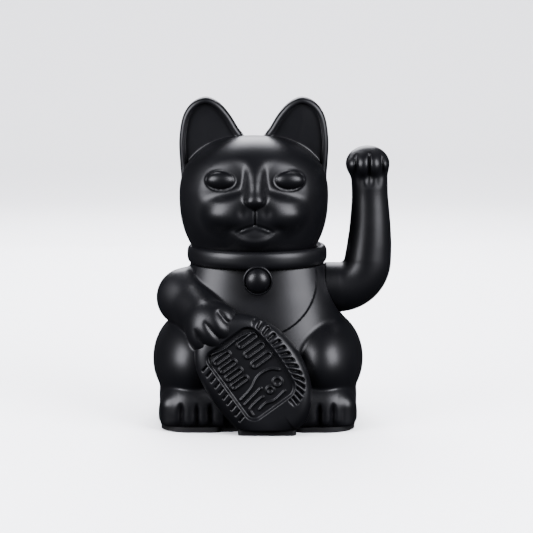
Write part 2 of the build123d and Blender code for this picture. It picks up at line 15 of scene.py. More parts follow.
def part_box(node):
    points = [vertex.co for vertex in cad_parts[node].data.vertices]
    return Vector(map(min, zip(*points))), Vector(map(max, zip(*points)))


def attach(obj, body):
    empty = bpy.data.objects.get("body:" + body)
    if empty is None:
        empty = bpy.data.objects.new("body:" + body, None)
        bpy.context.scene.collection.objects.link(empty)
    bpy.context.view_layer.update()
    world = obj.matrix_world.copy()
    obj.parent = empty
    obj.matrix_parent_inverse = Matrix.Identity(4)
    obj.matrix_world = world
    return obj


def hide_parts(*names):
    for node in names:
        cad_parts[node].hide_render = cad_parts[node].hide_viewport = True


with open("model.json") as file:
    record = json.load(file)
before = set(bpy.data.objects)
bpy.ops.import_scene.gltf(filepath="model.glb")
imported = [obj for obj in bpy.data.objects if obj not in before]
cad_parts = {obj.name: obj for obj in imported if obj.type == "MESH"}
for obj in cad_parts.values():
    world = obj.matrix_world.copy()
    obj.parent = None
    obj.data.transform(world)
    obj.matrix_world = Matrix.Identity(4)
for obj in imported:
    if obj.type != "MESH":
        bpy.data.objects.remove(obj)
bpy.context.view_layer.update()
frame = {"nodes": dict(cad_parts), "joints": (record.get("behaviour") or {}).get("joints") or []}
MM = 0.001
TINY = 1e-6  # keeps a divisor off zero


def box_mm(node):
    """Lowest and highest corner of a CAD node in millimetres."""
    return [np.array(corner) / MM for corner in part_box(node)]


# ---------------------------------------------------------------- places read from the frame
BODY_LOW, BODY_HIGH = box_mm("body_front_shell")
HEAD_LOW, HEAD_HIGH = box_mm("head_front_shell")
EAR_HIGH = box_mm("head_rear_shell")[1]
COLLAR_LOW, COLLAR_HIGH = box_mm("collar")
BELL_LOW, BELL_HIGH = box_mm("bell")
CAP_HIGH = box_mm("arm_root_cap")[1]
PIVOT = np.array(next(j for j in frame["joints"] if j["name"] == "arm_swing")["pos_m"]) / MM

RIM_Z = BODY_LOW[2]  # bottom rim of the body shells
BODY_SEAM = BODY_HIGH[1]
HEAD_SEAM = HEAD_HIGH[1]
HEAD_X = (HEAD_LOW[0] + HEAD_HIGH[0]) / 2
HEAD_RIM = HEAD_LOW[2]
EAR_TOP = EAR_HIGH[2]
WALL = 2.0
SEAM_GAP = 0.06  # half of the parting line between two shells

# ---------------------------------------------------------------- distance fields
# A point p is (x, y, z): three arrays that broadcast together. A field is negative inside.


def join(a, b, k):
    """Union with a fillet about k wide."""
    h = np.maximum(k - np.abs(a - b), 0) / k
    return np.minimum(a, b) - h * h * k / 4


def cut(a, b, k):
    """What is in a and not in b, with the edge rounded about k wide."""
    return -join(-a, b, k)


def common(a, b, k):
    return -join(-a, -b, k)


def length(*parts):
    return np.sqrt(sum(part * part for part in parts))


def ellipsoid(p, centre, radii):
    q = [a - c for a, c in zip(p, centre)]
    near = length(*[a / r for a, r in zip(q, radii)])
    slope = length(*[a / r**2 for a, r in zip(q, radii)])
    return near * (near - 1) / np.maximum(slope, TINY)


def limb(p, a, ra, b, rb):
    """A round bar from ball a to ball b."""
    a, b = np.array(a, float), np.array(b, float)
    d = b - a
    t = np.clip(sum((q - o) * n for q, o, n in zip(p, a, d)) / (d @ d), 0, 1)
    return length(*[q - o - t * n for q, o, n in zip(p, a, d)]) - (ra + (rb - ra) * t)


def limbs(p, balls, k):
    field = limb(p, *balls[0], *balls[1])
    for (a, ra), (b, rb) in zip(balls[1:], balls[2:]):
        field = join(field, limb(p, a, ra, b, rb), k)
    return field


def rounded_box(p, low, high, r):
    inner = [np.abs(a - (lo + hi) / 2) - (hi - lo) / 2 + r for a, lo, hi in zip(p, low, high)]
    outside = length(*[np.maximum(a, 0) for a in inner])
    return outside + np.minimum(np.maximum(np.maximum(inner[0], inner[1]), inner[2]), 0) - r


def oval(u, v, ru, rv):
    """Signed distance, near enough, to an ellipse in a plane."""
    near = length(u / ru, v / rv)
    return near * (near - 1) / np.maximum(length(u / ru**2, v / rv**2), TINY)


def bell_curve(d, width):
    return np.exp(-((d / width) ** 2))


def ramp(d, low, high):
    """0 below low, 1 above high, smooth between."""
    t = np.clip((d - low) / (high - low), 0, 1)
    return t * t * (3 - 2 * t)


def smooth_line(points, steps=8):
    """Points along a Catmull-Rom curve through the given ones."""
    pts = np.array([points[0], *points, points[-1]], float)
    t = np.linspace(0, 1, steps, endpoint=False)[:, None]
    runs = []
    for a, b, c, d in zip(pts, pts[1:], pts[2:], pts[3:]):
        run = 2 * b + (c - a) * t + (2 * a - 5 * b + 4 * c - d) * t**2 + (3 * b - a - 3 * c + d) * t**3
        runs.append(0.5 * run)
    return np.vstack([*runs, pts[-1:]])


def line_distance(u, v, points):
    """Distance in a plane to an open run of points."""
    best = None
    for (u0, v0), (u1, v1) in zip(points, points[1:]):
        du, dv = u1 - u0, v1 - v0
        t = np.clip(((u - u0) * du + (v - v0) * dv) / (du * du + dv * dv), 0, 1)
        d = (u - u0 - t * du) ** 2 + (v - v0 - t * dv) ** 2
        best = d if best is None else np.minimum(best, d)
    return np.sqrt(best)


def outline_distance(u, v, points):
    """Signed distance in a plane to a closed outline."""
    inside = np.zeros(np.broadcast(u, v).shape, bool)
    closed = np.vstack([points, points[:1]])
    for (u0, v0), (u1, v1) in zip(closed, closed[1:]):
        if v0 != v1:
            crosses = (v0 > v) != (v1 > v)
            inside ^= crosses & (u < (u1 - u0) * (v - v0) / (v1 - v0) + u0)
    return np.where(inside, -1, 1) * line_distance(u, v, closed)


# ---------------------------------------------------------------- meshing
PROBE = 0.15  # how far apart the slope is sampled, in grid steps
LONGEST_MOVE = 0.4  # in grid steps
LEAST_SLOPE = 0.05


def add_piece(name, mesh):
    mesh.shade_smooth()
    piece = bpy.data.objects.new(name, mesh)
    bpy.context.scene.collection.objects.link(piece)
    return piece


def crossings(values, axis):
    """Where the field changes sign along one axis: lower grid index, share of the step, direction."""
    a = np.take(values, range(values.shape[axis] - 1), axis)
    b = np.take(values, range(1, values.shape[axis]), axis)
    at = np.argwhere((a < 0) != (b < 0))
    fa, fb = a[tuple(at.T)], b[tuple(at.T)]
    return at, fa / (fa - fb), fa < 0


def surface_net(values, low, step):
    """Quads round the zero level of a grid: one vertex per cell that it passes through."""
    cells = np.array(values.shape) - 1
    strides = np.array([cells[1] * cells[2], cells[2], 1])
    owner, place, quads = [], [], []
    for axis in range(3):
        at, share, leaving = crossings(values, axis)
        across = [a for a in range(3) if a != axis]
        inner = np.all([(at[:, a] > 0) & (at[:, a] < cells[a]) for a in across], axis=0)
        at, share, leaving = at[inner], share[inner], leaving[inner]
        point = at.astype(float)
        point[:, axis] += share
        ring = []
        for du, dv in ((1, 1), (0, 1), (0, 0), (1, 0)):
            cell = at.copy()
            cell[:, across[0]] -= du
            cell[:, across[1]] -= dv
            ring.append(cell @ strides)
            owner.append(ring[-1])
            place.append(point)
        quad = np.stack(ring, 1)
        turned = leaving if axis != 1 else ~leaving
        quads.append(np.where(turned[:, None], quad, quad[:, ::-1]))
    owner, place, quads = np.concatenate(owner), np.vstack(place), np.vstack(quads)
    used, index = np.unique(owner, return_inverse=True)
    count = np.bincount(index)
    mean = np.stack([np.bincount(index, place[:, a]) / count for a in range(3)], 1)
    return np.array(low) + mean * step, np.searchsorted(used, quads)


def settle(field, points, step, passes=3):
    """Moves points onto the zero level along the field's slope, each time by at most a part of a step."""
    reach = PROBE * step
    for _ in range(passes):
        value = field(tuple(points.T))
        slope = []
        for axis in range(3):
            shift = np.zeros(3)
            shift[axis] = reach
            ahead, behind = field(tuple((points + shift).T)), field(tuple((points - shift).T))
            slope.append((ahead - behind) / (2 * reach))
        slope = np.stack(slope, 1)
        move = slope * (value / np.maximum((slope**2).sum(1), LEAST_SLOPE))[:, None]
        size = np.linalg.norm(move, axis=1, keepdims=True)
        points = points - move * np.minimum(1, LONGEST_MOVE * step / np.maximum(size, TINY))
    return points


def sculpt(name, field, low, high, step, place=None):
    """Meshes a field inside a box as a piece in metres, moved by place if it has its own frame."""
    counts = [int(math.ceil((b - a) / step)) + 1 for a, b in zip(low, high)]
    grid = np.ogrid[tuple(slice(0, n) for n in counts)]
    p = tuple((a + g * step).astype(np.float32) for a, g in zip(low, grid))
    points, quads = surface_net(np.broadcast_to(field(p), counts), low, step)
    points = settle(field, points, step)
    mesh = bpy.data.meshes.new(name)
    mesh.from_pydata((points * MM).tolist(), [], quads.tolist())
    if place is not None:
        mesh.transform(place)
    return add_piece(name, mesh)


# ---------------------------------------------------------------- body
SEAT_LOW, SEAT_HIGH = (-44.5, -35.0, RIM_Z - 4), (44.5, 35.0, 17.0)
SEAT_ROUND = 6.0
# height and half width
TORSO = smooth_line([
    (0.0, 40.5), (9.0, 44.0), (20.0, 45.0), (40.0, 41.3), (56.0, 36.8), (66.0, 33.6), (80.0, 29.5),
])
TORSO_FLATTEN = 0.78  # depth over width
TORSO_POWER = 2.3  # 2 would be an ellipse from above
TORSO_SLOPE = 0.86  # brings the field nearer to a distance
NECK_Z = BODY_HIGH[2] - 6.2
HAUNCH = ((29.3, -2.5, 29.0), (19.7, 34.0, 22.5))
FOOT_LOW, FOOT_HIGH = (15.0, -37.8), (45.6, 8.0)
FOOT_TOP, FOOT_CORNER, FOOT_ROUND = 21.6, 15.0, 13.0
TOE_GROOVES = {-1: (21.3, 27.6, 34.7), 1: (27.7, 34.0, 39.9)}
SHOULDER = ((-24.0, 0.0, 62.3), 11.0)
ELBOW = ((-33.2, -8.0, 58.0), 12.8)
WRIST = ((-22.6, -31.0, 50.4), 10.2)
# the hand's middle, and its half sizes across the fingers, outwards and along them
HAND = ((-20.2, -35.4, 47.6), (12.6, 9.8, 10.0))
# between the fingers, as x and z from the knuckles to the tips
FINGER_GROOVES = [
    [(-28.4, 48.4), (-25.0, 43.0), (-21.0, 38.6)],
    [(-23.4, 52.0), (-19.4, 47.1), (-14.6, 42.0)],
    [(-17.6, 56.4), (-14.4, 52.4), (-10.4, 49.4)],
]
TAIL = [((-8.0, 32.5, 9.5), 6.0), ((4.0, 33.4, 11.6), 5.8), ((12.0, 33.0, 15.0), 5.0)]
BIB = ((-1.0, 68.0), (28.0, 25.0))  # the chest's raised oval from the front: middle and half sizes
BIB_RISE = 0.8
POCKET_R, POCKET_X = 12.2, 30.4  # the recess that the arm's root turns in
AXLE_HOLE_R, AXLE_HOLE_X = 3.0, (26, 34)


def torso(p):
    x, y, z = p
    radius = np.interp(z, TORSO[:, 0], TORSO[:, 1])
    around = np.abs(x) ** TORSO_POWER + np.abs(y / TORSO_FLATTEN) ** TORSO_POWER
    field = (around ** (1 / TORSO_POWER) - radius) * TORSO_SLOPE
    bib = oval(x - BIB[0][0], z - BIB[0][1], *BIB[1])
    return field - BIB_RISE * (1 - ramp(bib, -0.25, 0.25)) * (1 - ramp(y, -12, -4))


def foot(p, side):
    """A block with a wide outer front corner, a rounded top and three grooves between its toes."""
    x, y, z = p
    x = x * side
    du = np.maximum(x - FOOT_HIGH[0] + FOOT_CORNER, 0)
    dv = np.maximum(FOOT_LOW[1] + FOOT_CORNER - y, 0)
    outline = np.maximum(length(du, dv) - FOOT_CORNER, FOOT_LOW[0] - x)
    top = z - FOOT_TOP - 0.1 * np.minimum(y + 30, 0) + 0.2 * np.maximum(x - 36, 0)
    field = common(outline, top, FOOT_ROUND)
    field = common(field, RIM_Z - z, 3.0)
    field = np.maximum(field, y - FOOT_HIGH[1])
    for at in TOE_GROOVES[side]:
        off = np.abs(x - at)
        depth = 1.9 * bell_curve(off, 0.75) + 1.0 * bell_curve(off, 2.2)
        field = field + depth * (1 - ramp(z, 8.5, 14.5)) * (1 - ramp(y, -32, -25))
    return field


def holding_arm(p):
    field = join(limb(p, *SHOULDER, *ELBOW), limb(p, *ELBOW, *WRIST), 4.0)
    (x, y, z), ((cx, cy, cz), half) = p, HAND
    across, along = (x - cx + z - cz) / math.sqrt(2), (x - cx - z + cz) / math.sqrt(2)
    field = join(field, ellipsoid((across, y, along), (0, cy, 0), half), 5.0)
    where = (1 - ramp(y, -42.0, -36.0)) * ramp(x - z, -79.0, -70.0)
    for line in FINGER_GROOVES:
        at = line_distance(x, z, line)
        field = field + (0.7 * bell_curve(at, 0.7) + 0.8 * bell_curve(at, 2.0)) * where
    return field


def body_form(p):
    x, y, z = p
    field = join(torso(p), rounded_box(p, SEAT_LOW, SEAT_HIGH, SEAT_ROUND), SEAT_ROUND)
    field = np.maximum(field, z - NECK_Z)
    for side in (-1, 1):
        haunch = ellipsoid((x * side, y, z), *HAUNCH)
        field = join(field, haunch, 1.6)
        field = join(field, foot(p, side), 1.2)
    field = join(field, holding_arm(p), 1.2)
    return join(field, limbs(p, TAIL, 3.0), 1.5)


def pocket(p, inset):
    x, y, z = p
    return np.maximum(length(y - PIVOT[1], z - PIVOT[2]) - POCKET_R - inset, POCKET_X - inset - x)


def body_shell(p):
    """The hollow body with the arm's recess and the axle's hole in its side."""
    x, y, z = p
    form = body_form(p)
    shell = cut(form, pocket(p, 0), 0.5)
    inside = np.maximum(form + WALL, -pocket(p, WALL))
    axle_hole = np.maximum(length(y - PIVOT[1], z - PIVOT[2]) - AXLE_HOLE_R, AXLE_HOLE_X[0] - x)
    axle_hole = np.maximum(axle_hole, x - AXLE_HOLE_X[1])
    shell = np.maximum(np.maximum(shell, -inside), -axle_hole)
    return np.maximum(shell, RIM_Z - z)


def body_half(side, seam):
    """The front shell for side -1 and the rear one for side 1."""
    return lambda p: np.maximum(body_shell(p), SEAM_GAP - side * (p[1] - seam))


# ---------------------------------------------------------------- head
HEAD_Y = -1.0
HEAD_MID_Z = 105.0
HEAD_R = (34.5, 31.0)
HEAD_RISE, HEAD_FALL = 27.3, 38.0
HEAD_POWER = 2.3
HEAD_SLOPE = 30.0  # turns the skull's relative field into millimetres
FACE_X = HEAD_X + 0.7  # the face's middle
EYE = (15.4, 114.0)  # how far from the face's middle, and height
EYE_R = (6.6, 3.95)
EYE_PLANE_Y = -26.0
EYE_TURN = 4.0  # degrees outwards
EYE_BULGE = ((0.0, -1.6, 0.0), (EYE_R[0] + 0.4, 4.4, EYE_R[1] + 0.3))
SOCKET_R = (11.8, 8.4)
SOCKET_FLOOR = 1.2
MUZZLE = ((7.4, -25.2, 98.6), (14.0, 8.6, 7.8))  # one half
CHIN = ((0, -24.6, 88.6), (10.6, 8.6, 6.4))
DIMPLE = (5.2, 99.6)
MOUTH_CORNER = (10.6, 92.6)
LIP_Z = 94.3
LOWER_LIP_Z, LOWER_LIP_R = 91.6, (8.9, 4.9)
NOSE_DEPTH = 7  # as far behind its front as the sides keep widening
# nose, from its tip up to the brow: height, how far forward, half width of its flat top, slope of its sides
NOSE = smooth_line([
    (100.6, 33.6, 0.1, 0.2), (101.6, 35.0, 0.4, 0.2), (103.4, 37.0, 2.7, 0.25), (105.2, 38.0, 3.3, 0.3),
    (107.2, 37.6, 2.9, 0.35), (110.0, 35.8, 2.3, 0.4), (114.0, 33.4, 2.4, 0.45), (118.5, 30.2, 2.7, 0.5),
    (122.5, 25.6, 3.0, 0.6), (126.5, 17.0, 3.2, 0.7),
])


def skull(p):
    x, y, z = p
    up = z - HEAD_MID_Z
    tall = np.where(up > 0, up / HEAD_RISE, -up / HEAD_FALL)
    wide = length((x - HEAD_X) / HEAD_R[0], (y - HEAD_Y) / HEAD_R[1])
    return (np.power(wide**HEAD_POWER + tall**HEAD_POWER, 1 / HEAD_POWER) - 1) * HEAD_SLOPE


def eye_frame(p, side):
    """Local coordinates of one eye: across, outwards and up."""
    x, y, z = p
    cos, sin = math.cos(math.radians(EYE_TURN)), math.sin(math.radians(EYE_TURN))
    dx, dy = side * (x - FACE_X) - EYE[0], y - EYE_PLANE_Y
    return dx * cos + dy * sin, dx * sin - dy * cos, z - EYE[1]


def nose(dx, y, z):
    """A bridge with a flat top and sloping sides that widens to the nose and comes to a point below it."""
    forward, half, slope = [np.interp(z, NOSE[:, 0], NOSE[:, i]) for i in (1, 2, 3)]
    depth = y + forward
    side = (np.abs(dx) - half - slope * np.minimum(depth, NOSE_DEPTH)) / np.sqrt(1 + slope**2)
    field = common(-depth * 0.9, side, 3.0)
    return np.maximum(field, np.maximum(NOSE[0, 0] - z, z - NOSE[-1, 0]))


def face(p):
    """The head with its muzzle, nose, eyes and mouth."""
    x, y, z = p
    dx = x - FACE_X
    across = np.abs(dx)
    at_front = 1 - ramp(y, -24, -16)
    field = skull(p)
    for side in (-1, 1):
        u, w, v = eye_frame(p, side)
        field = cut(field, common(oval(u - 0.2, v - 0.6, *SOCKET_R), SOCKET_FLOOR - w, 3.0), 5.0)
    field = join(field, ellipsoid((across, y, z), *MUZZLE), 5.0)
    field = join(field, ellipsoid((dx, y, z), *CHIN), 4.5)
    for side in (-1, 1):
        u, w, v = eye_frame(p, side)
        field = join(field, ellipsoid((u, w, v), *EYE_BULGE), 0.4)
        edge = oval(u, v, *EYE_R)
        near = at_front * (1 - ramp(np.abs(u), 9, 11)) * (w > -8)
        rise = 0.2 + 0.15 * ramp(u, -2, 5) - 0.12 * ramp(v, 0, 3)
        field = field - rise * bell_curve(edge - 0.7, 0.4) * near + 0.15 * bell_curve(edge + 0.1, 0.4) * near
    field = join(field, nose(dx, y, z), 1.6)
    philtrum = bell_curve(dx, 0.5) * ramp(z, LIP_Z - 0.6, LIP_Z + 0.6) * (1 - ramp(z, 101.0, 102.5))
    dimples = bell_curve(length(across - DIMPLE[0], z - DIMPLE[1]), 2.6)
    corners = bell_curve(length(across - MOUTH_CORNER[0], (z - MOUTH_CORNER[1]) * 1.4), 2.6)
    field = field + (0.85 * philtrum + 0.8 * dimples + 0.55 * corners) * at_front
    lip = np.maximum(z - (LIP_Z - 0.34 * across), oval(dx, z - LOWER_LIP_Z, *LOWER_LIP_R))
    mouth = line_distance(across, z, [(0.0, LIP_Z), (4.5, LIP_Z - 1.3), (8.6, LIP_Z - 3.1)])
    groove = 0.55 * bell_curve(mouth, 0.7) * (1 - ramp(across, 6.0, 9.6))
    return field + (groove + 0.6 * ramp(-lip, -0.4, 2.2)) * at_front


def head_front(p):
    form = face(p)
    shell = np.maximum(form, -(np.maximum(form, skull(p)) + WALL))
    return np.maximum(np.maximum(shell, HEAD_RIM - p[2]), p[1] - HEAD_SEAM + SEAM_GAP)


# outline of the ear on the left of the head, from its outer root over the tip to its inner root
EAR = smooth_line([
    (-35.2, 108.0), (-36.3, 121.0), (-36.5, 131.0), (-34.8, 141.0), (-30.6, 147.2), (-24.4, EAR_TOP - 0.1),
    (-18.6, 147.6), (-13.6, 142.4), (-9.6, 136.0), (-5.6, 129.0), (-8.0, 118.0),
])
EAR_BACK = HEAD_SEAM + 9.6
EAR_RIM = 2.7
CROWN = ((HEAD_X - 6.4, HEAD_SEAM - 3, 120), (HEAD_X + 3.8, HEAD_SEAM + 5, 131.5))  # flat between the ears


def ears(p):
    """Both ears, mirrored about the head's middle: thick slabs with a rounded rim round a hollow."""
    x, y, z = p
    left = HEAD_X - np.abs(x - HEAD_X)
    outline = outline_distance(left, z, EAR)
    slab = np.abs(y - (HEAD_SEAM + EAR_BACK) / 2) - (EAR_BACK - HEAD_SEAM) / 2
    field = common(outline, slab, 2.6)
    hollow = np.maximum(outline + EAR_RIM, y - HEAD_SEAM - 2.4 - 0.05 * outline)
    return cut(field, hollow, 0.9)


def head_rear(p):
    crown = rounded_box(p, *CROWN, 0.8)
    form = join(join(skull(p), crown, 0.8), ears(p), 0.9)
    shell = np.maximum(form, -(skull(p) + WALL))
    return np.maximum(np.maximum(shell, HEAD_RIM - p[2]), HEAD_SEAM + SEAM_GAP - p[1])


# ---------------------------------------------------------------- waving arm
ARM_R = 11.6  # root, round the axle
BEND_X, BEND_Z = 37.4, 75.3  # centre of the elbow's bend
BEND_R = BEND_Z - PIVOT[2]
# from the bend to the paw: height, middle in x, half thickness
ARM_LINE = smooth_line([
    (BEND_Z, BEND_X + BEND_R, 10.9), (79.0, 51.5, 10.6), (82.7, 51.8, 10.3), (90.3, 52.1, 9.6),
    (98.0, 52.1, 8.9), (105.3, 51.9, 8.4), (113.0, 51.6, 8.5), (120.0, 51.2, 8.5),
], 5)
ARM_ROOT_X = 31.0  # inner end of the arm, inside the body's pocket
ARM_PAW = ((50.7, -0.6, 119.5), (10.1, 9.2, 8.3))
ARM_FINGERS = ((50.7, -5.0, 119.2), (9.7, 6.6, 6.0))
ARM_GROOVES = (45.1, 51.1, 57.0)
ARM_WALL = 1.7
CAP_DEPTH = 8  # the root's bore ends this far before the cap's outer end


def arm_form(p):
    """A straight root, a round bend and a tapering tube with a paw on top."""
    x, y, z = p
    dx, dz = x - BEND_X, BEND_Z - z
    root = length(y, z - PIVOT[2]) - ARM_R
    turned = np.clip(np.arctan2(dx, dz) / (math.pi / 2), 0, 1)
    bend = length(length(dx, dz) - BEND_R, y) - (ARM_R + (ARM_LINE[0, 2] - ARM_R) * turned)
    middle, radius = [np.interp(z, ARM_LINE[:, 0], ARM_LINE[:, i]) for i in (1, 2)]
    upper = np.maximum(length(x - middle, y) - radius, z - ARM_LINE[-1, 0])
    field = np.where(dz > 0, np.where(dx > 0, bend, root), np.where(dx > 0, upper, np.minimum(root, upper)))
    field = join(field, ellipsoid(p, *ARM_PAW), 2.0)
    field = join(field, ellipsoid(p, *ARM_FINGERS), 1.2)
    at_front = (1 - ramp(y, -8.5, -5.5)) * (1 - ramp(z, 121.0, 126.0)) * ramp(z, 108.0, 114.5)
    width = 0.55 + 0.1 * np.maximum(120 - z, 0)
    for at in ARM_GROOVES:
        field = field + (1.7 * bell_curve(x - at, width) + 0.7 * bell_curve(x - at, 2.0)) * at_front
    return field


def arm_shell(p):
    x, y, z = p
    form = arm_form(p)
    bore = np.maximum(length(y - PIVOT[1], z - PIVOT[2]) - (ARM_R - ARM_WALL), x - CAP_HIGH[0] + CAP_DEPTH)
    shell = np.maximum(np.maximum(form, -(form + ARM_WALL)), -bore)
    return np.maximum(shell, ARM_ROOT_X - x)


def arm_half(side):
    return lambda p: np.maximum(arm_shell(p), SEAM_GAP - side * p[1])


# ---------------------------------------------------------------- coin
# its own frame: u along the oval, v across it, w out of its face
COIN_FACE = (-0.75, -44.2, 27.4)
COIN_R = (30.9, 21.8)
COIN_TURN, COIN_LEAN = -54.0, 5.0
COIN_DEPTH = 11.5
COIN_POWER = 2.6  # 2 would make the fuller side an ellipse
RIM_ROUND = 7.0
PANEL = ((-21.3, -14.2), (16.4, 13.6))
PANEL_CORNER = 4.5
PANEL_SINK = 1.9
COIN_PLACE = (
    Matrix.Translation(Vector(COIN_FACE) * MM)
    @ Matrix.Rotation(math.radians(90 - COIN_LEAN), 4, "X")
    @ Matrix.Rotation(math.radians(COIN_TURN), 4, "Z")
)


def bar_loop(u, v, centre, half, r):
    """Distance to the outline of a round-ended bar that lies along v."""
    dv = np.maximum(np.abs(v - centre[1]) - half, 0)
    return np.abs(length(u - centre[0], dv) - r)


def coin_outline(u, v):
    """An oval that is fuller on its lower left side."""
    around = np.power(np.abs(u) / COIN_R[0], COIN_POWER) + np.power(np.abs(v) / (COIN_R[1] + 0.8), COIN_POWER)
    fuller = np.power(around, 1 / COIN_POWER)
    return np.where(v > 0, oval(u, v, *COIN_R), (fuller - 1) * COIN_R[1])


def panel_outline(u, v):
    """The sunk panel: a rounded rectangle with its upper right side bowed."""
    low, high = PANEL
    middle, half = (low[0] + high[0]) / 2, (high[0] - low[0]) / 2
    bowed = v + 0.006 * (u - middle) ** 2 * (v > 0)
    du = np.maximum(np.abs(u - middle) - half + PANEL_CORNER, 0)
    dv = np.maximum(np.abs(bowed - (low[1] + high[1]) / 2) - (high[1] - low[1]) / 2 + PANEL_CORNER, 0)
    return length(du, dv) - PANEL_CORNER


# the ornament: middles of round-ended bars with half length and radius, open strokes, and rings
BARS = [(-15.6 + 4.5 * i, -7.6, 3.0, 1.25) for i in range(4)]
BARS += [(-15.4 + 5.4 * i, 6.4, 3.7, 1.4) for i in range(3)]
STROKES = [
    smooth_line([(-20, -11.5), (-18.4, -4), (-18.6, 4), (-17.6, 9.6)], 4),
    smooth_line([(4.6, -11.8), (3.2, -5.0), (0.4, 1.0), (1.0, 7.0), (3.6, 10.2)], 5),
    smooth_line([(7.4, -11.6), (6.4, -6.0), (5.6, -1.4)], 4),
    smooth_line([(13.2, -11.4), (10.4, -10.8), (9.4, -6.4), (9.2, -3.0)], 4),
    smooth_line([(13.0, -7.4), (12.4, -3.4), (13.6, 0.4), (12.8, 6.6)], 4),
]
RINGS = [(8.6, 1.6, 1.5), (7.6, 6.4, 1.9)]


def relief(u, v):
    """Distance to a plain ornament of combs, hooks and two rings, drawn as thin raised outlines."""
    found = [bar_loop(u, v, (u0, v0), half, r) for u0, v0, half, r in BARS]
    found += [line_distance(u, v, stroke) for stroke in STROKES]
    found += [np.abs(length(u - u0, v - v0) - r) for u0, v0, r in RINGS]
    best = found[0]
    for d in found[1:]:
        best = np.minimum(best, d)
    return best


BOLD_PITCH = math.radians(7.6)
BOLD_REACH = 24.0  # radius at which the bold cuts' width is measured
THIN_PITCH = 3.1


def notches(u, v, panel):
    """Bold slanted cuts along the upper right of the rim, thin ones along its lower left."""
    around = np.arctan2(v / COIN_R[1], u / COIN_R[0])
    off = (np.mod(around + 0.02 * panel, BOLD_PITCH) - BOLD_PITCH / 2) * BOLD_REACH
    bold = bell_curve(off, 0.7) * ramp(panel, 0.5, 1.1) * (1 - ramp(panel, 4.4, 5.4))
    bold = bold * ramp(around, 0.35, 0.5) * (1 - ramp(around, 2.3, 2.45))
    off = np.mod(u - 0.25 * panel, THIN_PITCH) - THIN_PITCH / 2
    thin = bell_curve(off, 0.42) * ramp(panel, 0.4, 0.9) * (1 - ramp(panel, 3.4, 4.2))
    thin = thin * (v < -13) * ramp(u, -17.5, -16.5) * (1 - ramp(u, 13, 14))
    return 1.3 * bold + 0.8 * thin


def world_height(u, v, w):
    """Height above the floor of a point of the coin's own frame."""
    turn, lean = math.radians(COIN_TURN), math.radians(90 - COIN_LEAN)
    return COIN_FACE[2] + (u * math.sin(turn) + v * math.cos(turn)) * math.sin(lean) + w * math.cos(lean)


def coin_form(p):
    u, v, w = p
    field = common(coin_outline(u, v), w, RIM_ROUND)
    field = common(field, -COIN_DEPTH - w, 2.0)
    panel = panel_outline(u, v)
    sink = PANEL_SINK * (1 - ramp(panel, -1.0, 0.3))
    raised = 0.9 * (1 - ramp(relief(u, v), 0.2, 0.7)) * (1 - ramp(panel, -1.5, -1.0))
    near_face = ramp(w, -4.0, -2.5)
    field = field + (sink - raised + notches(u, v, panel)) * near_face
    return common(field, RIM_Z - world_height(u, v, w), 0.8)


# ---------------------------------------------------------------- turned and swept pieces
def make_piece(name, verts, faces):
    mesh = bpy.data.meshes.new(name)
    mesh.from_pydata([tuple(c * MM for c in v) for v in verts], [], faces)
    return add_piece(name, mesh)


def swept_ring(name, centre, radii, section, turns=288):
    """A closed ring: the section's (outwards, up) points carried round an ellipse."""
    verts, faces, n = [], [], len(section)
    for i in range(turns):
        a = 2 * math.pi * i / turns
        nx, ny = math.cos(a) / radii[0], math.sin(a) / radii[1]
        size = math.hypot(nx, ny)
        for out, up in section:
            x = centre[0] + radii[0] * math.cos(a) + out * nx / size
            y = centre[1] + radii[1] * math.sin(a) + out * ny / size
            verts.append((x, y, centre[2] + up))
    for i in range(turns):
        for j in range(n):
            a, b = i * n + j, i * n + (j + 1) % n
            c, d = (i + 1) % turns * n + (j + 1) % n, (i + 1) % turns * n + j
            faces.append((a, d, c, b))
    return make_piece(name, verts, faces)


def turned_disc(name, centre, profile, turns=128):
    """A closed solid turned about a line along Y, from the profile's (radius, forward) points."""
    verts, faces = [], []
    for r, f in profile:
        for i in range(turns):
            a = 2 * math.pi * i / turns
            verts.append((centre[0] + r * math.cos(a), centre[1] - f, centre[2] + r * math.sin(a)))
    for j in range(len(profile) - 1):
        for i in range(turns):
            k = (i + 1) % turns
            faces.append((j * turns + i, j * turns + k, (j + 1) * turns + k, (j + 1) * turns + i))
    for end, flip in ((0, True), (len(profile) - 1, False)):
        loop = list(range(end * turns, (end + 1) * turns))
        faces.append(loop[::-1] if flip else loop)
    return make_piece(name, verts, faces)


COLLAR_ROUND, COLLAR_THICK, COLLAR_LEDGE = 2.7, 6.0, 1.4
COLLAR_POWER = 0.75  # below 1 the outside is fuller than an ellipse
COLLAR_STEPS = 27


def collar():
    """A ring that is rounded outside, with a ledge inside its top for the head."""
    middle = (COLLAR_LOW + COLLAR_HIGH) / 2
    radii = (COLLAR_HIGH[:2] - COLLAR_LOW[:2]) / 2
    half = (COLLAR_HIGH[2] - COLLAR_LOW[2]) / 2
    section = []
    for i in range(COLLAR_STEPS + 1):
        a = -math.pi / 2 + math.pi * i / COLLAR_STEPS
        out = -COLLAR_ROUND + COLLAR_ROUND * abs(math.cos(a)) ** COLLAR_POWER
        section.append((out, half * math.copysign(abs(math.sin(a)) ** COLLAR_POWER, math.sin(a))))
    lip, ledge = -COLLAR_ROUND - 0.2, half - COLLAR_LEDGE
    section += [(lip, half), (lip, ledge), (-COLLAR_THICK, ledge), (-COLLAR_THICK, -half)]
    return swept_ring("collar_ring", middle, radii, section)


